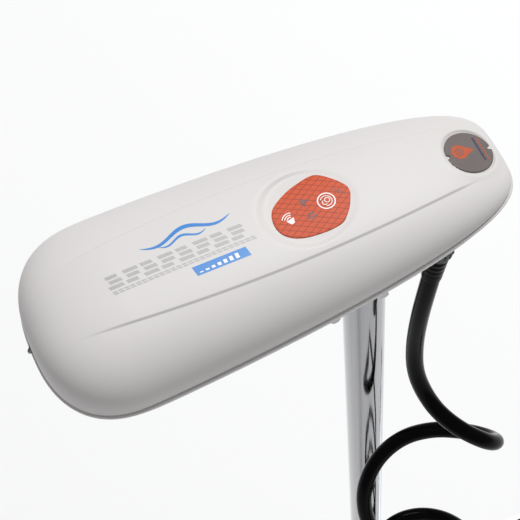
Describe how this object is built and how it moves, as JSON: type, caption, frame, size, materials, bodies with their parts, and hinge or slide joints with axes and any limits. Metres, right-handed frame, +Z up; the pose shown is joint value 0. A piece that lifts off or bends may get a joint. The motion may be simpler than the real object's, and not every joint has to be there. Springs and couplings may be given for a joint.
{
  "type": "bow-mount electric trolling motor",
  "caption": "Electric outboard on a tall steel tube, with a long rounded control head, coiled cord, steering housing, tilting deck bracket and propeller pod.",
  "frame": {"origin": "centre of the four deck bolts, on the underside of the base plate", "axes": "+Z up, +X towards the bow, +Y to port; the head's wide end points along +X"},
  "size_m": [0.5766, 0.2262, 1.5644],
  "materials": {
    "head_white": "fine satin",
    "panel_orange": "printed film",
    "disc_grey": "satin label",
    "cord_black": "smooth glossy jacket",
    "black_rubber": "matt",
    "black_plastic": "moulded",
    "stainless": "polished",
    "anodised": "satin anodised",
    "coated_casting": "powder coat",
    "motor_paint": "gloss paint",
    "bearing_plastic": "natural",
    "circuit_green": "solder mask",
    "led_lens": "clear",
    "bare_aluminium": "extruded",
    "motor_steel": "dark",
    "copper": "enamelled"
  },
  "bodies": {
    "mount_base": {"base_plate": "anodised", "pivot_pin": "stainless", "stop_pad": "black_rubber", "shaft_rest": "coated_casting", "rest_pad": "black_rubber", "lock_case": "stainless", "lock_spring": "stainless"},
    "lock_pin": {"lock_pin": "stainless"},
    "arm": {"swing_arm": "coated_casting", "arm_bolts": "stainless", "pivot_bushings": "bearing_plastic", "steering_housing": "coated_casting", "housing_cap": "coated_casting", "cap_screws": "stainless", "sleeve_bushings": "bearing_plastic", "steering_motor": "motor_steel", "steering_board": "circuit_green", "housing_cord_gland": "black_plastic", "battery_lead_gland": "black_plastic", "cord_tail": "cord_black"},
    "steering_pinion": {"steering_pinion": "stainless"},
    "drive_sleeve": {"drive_sleeve": "bearing_plastic", "drive_gear": "bearing_plastic", "sleeve_ring": "bearing_plastic", "depth_collar": "coated_casting"},
    "collar_knob": {"collar_knob": "black_plastic"},
    "shaft": {"shaft_tube": "stainless", "tube_grommet": "black_rubber", "motor_lead": "cord_black", "head_bottom_cover": "head_white", "head_gasket": "black_rubber", "head_top_cover": "head_white", "status_panel": "panel_orange", "compass_cover": "disc_grey", "control_board": "circuit_green", "power_module": "bare_aluminium", "compass_board": "circuit_green", "buzzer": "black_plastic", "status_leds": "led_lens", "head_screws": "stainless", "clamp_bolt": "stainless", "head_cord_gland": "black_plastic", "cord_lead": "cord_black", "cord_coil": "cord_black", "motor_case": "motor_paint", "nose_cone": "motor_paint", "rear_bell": "motor_paint", "through_bolts": "stainless", "motor_seals": "black_rubber", "magnets": "motor_steel", "brush_plate": "black_plastic", "motor_bearings": "stainless", "skeg": "black_plastic"},
    "rotor": {"armature_core": "motor_steel", "armature_windings": "copper", "commutator": "copper", "rotor_shaft": "stainless", "drive_pin": "stainless", "propeller": "black_plastic", "prop_nut": "stainless"}
  },
  "joints": [
    {"name": "stow_tilt", "type": "hinge", "parent": "mount_base", "child": "arm", "pos_m": [0.158, 0, 0.062], "axis": [0, -1, 0], "range_deg": [0, 90]},
    {"name": "lock_slide", "type": "slide", "parent": "mount_base", "child": "lock_pin", "axis": [0, -1, 0], "range_m": [0, 0.012], "deforming": ["lock_spring"]},
    {"name": "steer", "type": "hinge", "parent": "arm", "child": "drive_sleeve", "pos_m": [0.24, 0, 0.13], "axis": [0, 0, 1], "range_deg": [-180, 180], "deforming": ["cord_tail"]},
    {"name": "steering_pinion_spin", "type": "hinge", "parent": "arm", "child": "steering_pinion", "pos_m": [0.285, 0, 0.12], "axis": [0, 0, 1], "range_deg": [-720, 720]},
    {"name": "depth", "type": "slide", "parent": "drive_sleeve", "child": "shaft", "axis": [0, 0, 1], "range_m": [-0.4, 0.1], "deforming": ["cord_lead", "cord_coil"]},
    {"name": "collar_knob_turn", "type": "hinge", "parent": "drive_sleeve", "child": "collar_knob", "pos_m": [0.24, 0, 0.228], "axis": [-1, 0, 0], "range_deg": [0, 360]},
    {"name": "propeller_spin", "type": "hinge", "parent": "shaft", "child": "rotor", "pos_m": [0.24, 0, -0.322], "axis": [1, 0, 0], "continuous": true}
  ],
  "couplings": [
    {"joint": "steering_pinion_spin", "follows": "steer", "ratio": -4}
  ]
}
